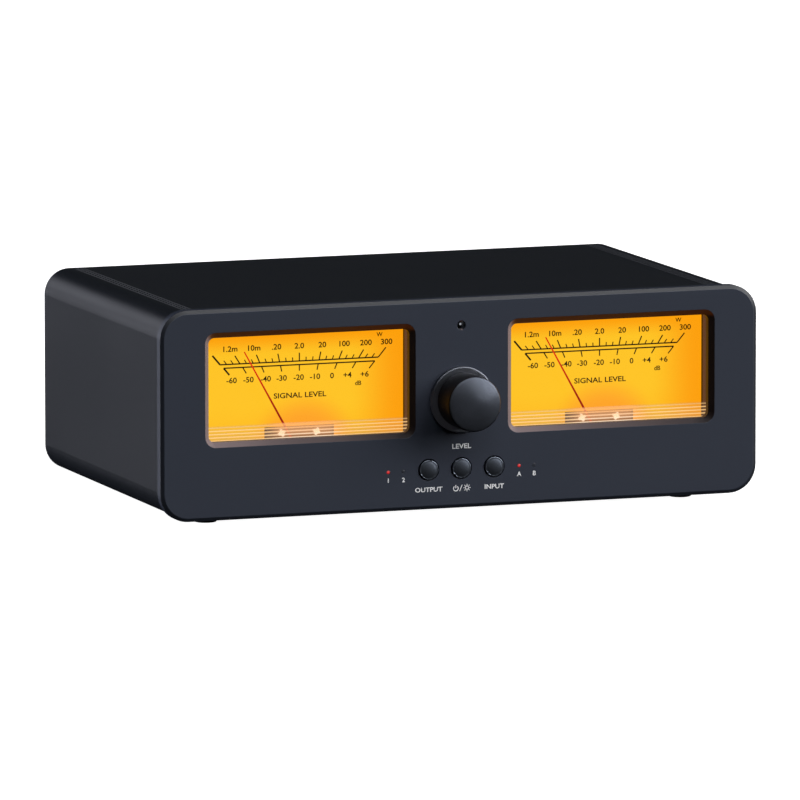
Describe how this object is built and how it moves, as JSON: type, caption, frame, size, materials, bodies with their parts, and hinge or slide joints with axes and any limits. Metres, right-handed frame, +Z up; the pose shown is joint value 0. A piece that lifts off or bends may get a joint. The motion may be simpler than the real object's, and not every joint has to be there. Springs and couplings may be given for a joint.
{
  "type": "analog vu meter",
  "caption": "Desktop stereo level meter in a low metal box: amber back-lit dials with moving needles, a turned knob, push buttons, indicator lights and rear banana sockets.",
  "frame": {"origin": "centre of the bounding box at the bottoms of the feet", "axes": "+X to the right seen from the front, +Y from the front panel to the back, +Z up"},
  "size_m": [0.25, 0.1764, 0.0866],
  "materials": {
    "casing_paint": "fine matt black powder coat",
    "panel_paint": "satin blue-grey",
    "frame_plastic": "moulded black",
    "rear_paint": "fine matt black",
    "foot_rubber": "matt black",
    "bright_steel": "zinc plated",
    "black_steel": "black oxide",
    "knob_metal": "satin black anodised",
    "collar_metal": "black anodised with turned rings",
    "control_metal": "plain",
    "button_metal": "satin black anodised",
    "switch_plastic": "moulded",
    "board_green": "solder mask",
    "led_white": "moulded",
    "lit_red": "lit clear red acrylic",
    "dark_red": "unlit clear red acrylic",
    "mic_can": "plain can",
    "brass": "turned",
    "relay_plastic": "moulded",
    "header_plastic": "moulded",
    "ribbon_grey": "flat cable",
    "socket_red": "moulded",
    "socket_black": "moulded",
    "jack_plastic": "moulded",
    "nickel": "nickel plated",
    "bridge_metal": "die cast",
    "bronze": "phosphor bronze strip",
    "clear_acrylic": "clear moulded acrylic",
    "meter_plastic": "moulded black",
    "dial_print": "printed translucent card, lit from behind",
    "diffuser_acrylic": "opal",
    "board_white": "white solder mask",
    "movement_black": "black",
    "soft_iron": "plain iron",
    "magnet": "magnet alloy",
    "copper": "enamelled copper wire",
    "needle_paint": "red painted aluminium"
  },
  "bodies": {
    "box": {"case_shell": "casing_paint", "front_panel": "panel_paint", "front_frame": "frame_plastic", "rear_panel": "rear_paint", "feet": "foot_rubber", "foot_screws": "bright_steel", "case_screws": "black_steel", "rear_screws": "black_steel", "pan_screws": "bright_steel", "knob_collar": "collar_metal", "control_body": "control_metal", "control_nut": "bright_steel", "switch_bodies": "switch_plastic", "control_board": "board_green", "indicator_leds": "led_white", "lit_pipes": "lit_red", "unlit_pipes": "dark_red", "microphone": "mic_can", "main_board": "board_green", "board_standoffs": "brass", "relays": "relay_plastic", "headers": "header_plastic", "ribbon_cable": "ribbon_grey", "red_sockets": "socket_red", "black_sockets": "socket_black", "socket_cores": "brass", "socket_nuts": "bright_steel", "power_jack": "jack_plastic", "movement_screws": "nickel", "bridges": "bridge_metal", "jewel_screws": "brass", "hairsprings": "bronze", "left_cover": "clear_acrylic", "left_meter_case": "meter_plastic", "left_dial": "dial_print", "left_diffuser": "diffuser_acrylic", "left_lamp_board": "board_white", "left_frame": "movement_black", "left_yoke": "soft_iron", "left_core": "magnet", "right_cover": "clear_acrylic", "right_meter_case": "meter_plastic", "right_dial": "dial_print", "right_diffuser": "diffuser_acrylic", "right_lamp_board": "board_white", "right_frame": "movement_black", "right_yoke": "soft_iron", "right_core": "magnet"},
    "left_pointer": {"left_needle": "needle_paint", "left_coil": "copper", "left_staff": "bright_steel"},
    "right_pointer": {"right_needle": "needle_paint", "right_coil": "copper", "right_staff": "bright_steel"},
    "knob": {"knob": "knob_metal", "knob_screw": "black_steel", "control_shaft": "bright_steel"},
    "button_left": {"button_left": "button_metal"},
    "button_middle": {"button_middle": "button_metal"},
    "button_right": {"button_right": "button_metal"}
  },
  "joints": [
    {"name": "left_needle_swing", "type": "hinge", "parent": "box", "child": "left_pointer", "pos_m": [-0.0631, -0.06055, 0.0253], "axis": [0, 1, 0], "range_deg": [-15, 72], "stiffness_Nm_per_rad": 0.0003},
    {"name": "right_needle_swing", "type": "hinge", "parent": "box", "child": "right_pointer", "pos_m": [0.0631, -0.06055, 0.0253], "axis": [0, 1, 0], "range_deg": [-15, 72], "stiffness_Nm_per_rad": 0.0003},
    {"name": "knob_turn", "type": "hinge", "parent": "box", "child": "knob", "pos_m": [0, -0.08135, 0.0463], "axis": [0, 1, 0], "range_deg": [-150, 150]},
    {"name": "button_left_press", "type": "slide", "parent": "box", "child": "button_left", "axis": [0, 1, 0], "range_m": [0, 0.0006], "stiffness_N_per_m": 150, "springref_m": -0.001},
    {"name": "button_middle_press", "type": "slide", "parent": "box", "child": "button_middle", "axis": [0, 1, 0], "range_m": [0, 0.0006], "stiffness_N_per_m": 150, "springref_m": -0.001},
    {"name": "button_right_press", "type": "slide", "parent": "box", "child": "button_right", "axis": [0, 1, 0], "range_m": [0, 0.0006], "stiffness_N_per_m": 150, "springref_m": -0.001}
  ]
}
